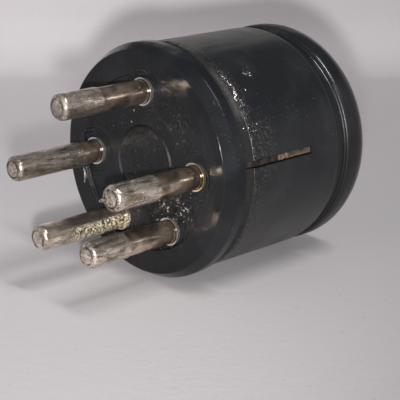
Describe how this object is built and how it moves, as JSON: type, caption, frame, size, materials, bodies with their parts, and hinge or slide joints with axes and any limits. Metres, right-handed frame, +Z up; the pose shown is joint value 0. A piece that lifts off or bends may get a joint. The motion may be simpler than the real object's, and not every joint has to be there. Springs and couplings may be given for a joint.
{
  "type": "vacuum tube",
  "caption": "Short vacuum tube on its side: a five-pin base, a glossy black moulded sleeve and end ring, and a small glass bulb whose dome shows at the rear.",
  "frame": {"origin": "on the tube's axis, in the plane of the flat rim of the base that meets the socket", "axes": "+Y along the tube's axis from the pins to the bulb, so the pins point to -Y; +Z up with pin 3 uppermost, the tube lying on its side"},
  "size_m": [0.0315, 0.0431, 0.0314],
  "materials": {
    "moulding": "glossy black phenolic moulding",
    "brass": "tarnished, scratched nickel-plated brass",
    "solder": "dull tinned solder",
    "fibre": "brown vulcanised fibre",
    "cement": "baked basing cement",
    "glass": "clear, thin blown glass",
    "mica": "split mica sheet",
    "carbonised": "carbonised nickel, matt grey-black",
    "nickel": "drawn nickel wire",
    "oxide": "white oxide coating",
    "copper": "bare copper-clad wire"
  },
  "bodies": {
    "root": {"base": "moulding", "pin_1": "brass", "pin_2": "brass", "pin_3": "brass", "pin_4": "brass", "pin_5": "brass", "pin_solder_1": "solder", "pin_solder_2": "solder", "pin_solder_3": "solder", "pin_solder_4": "solder", "pin_solder_5": "solder", "sleeve": "moulding", "end_ring": "moulding", "fibre_liner": "fibre", "basing_cement": "cement", "bulb": "glass", "stem": "glass", "exhaust_tube": "glass", "heater_lead_1": "copper", "plate_lead_2": "copper", "grid_lead_3": "copper", "cathode_lead_4": "copper", "heater_lead_5": "copper", "lower_mica": "mica", "upper_mica": "mica", "plate": "carbonised", "plate_rod_left": "nickel", "plate_rod_right": "nickel", "control_grid": "nickel", "cathode": "oxide", "heater": "oxide", "getter": "nickel"}
  },
  "joints": []
}
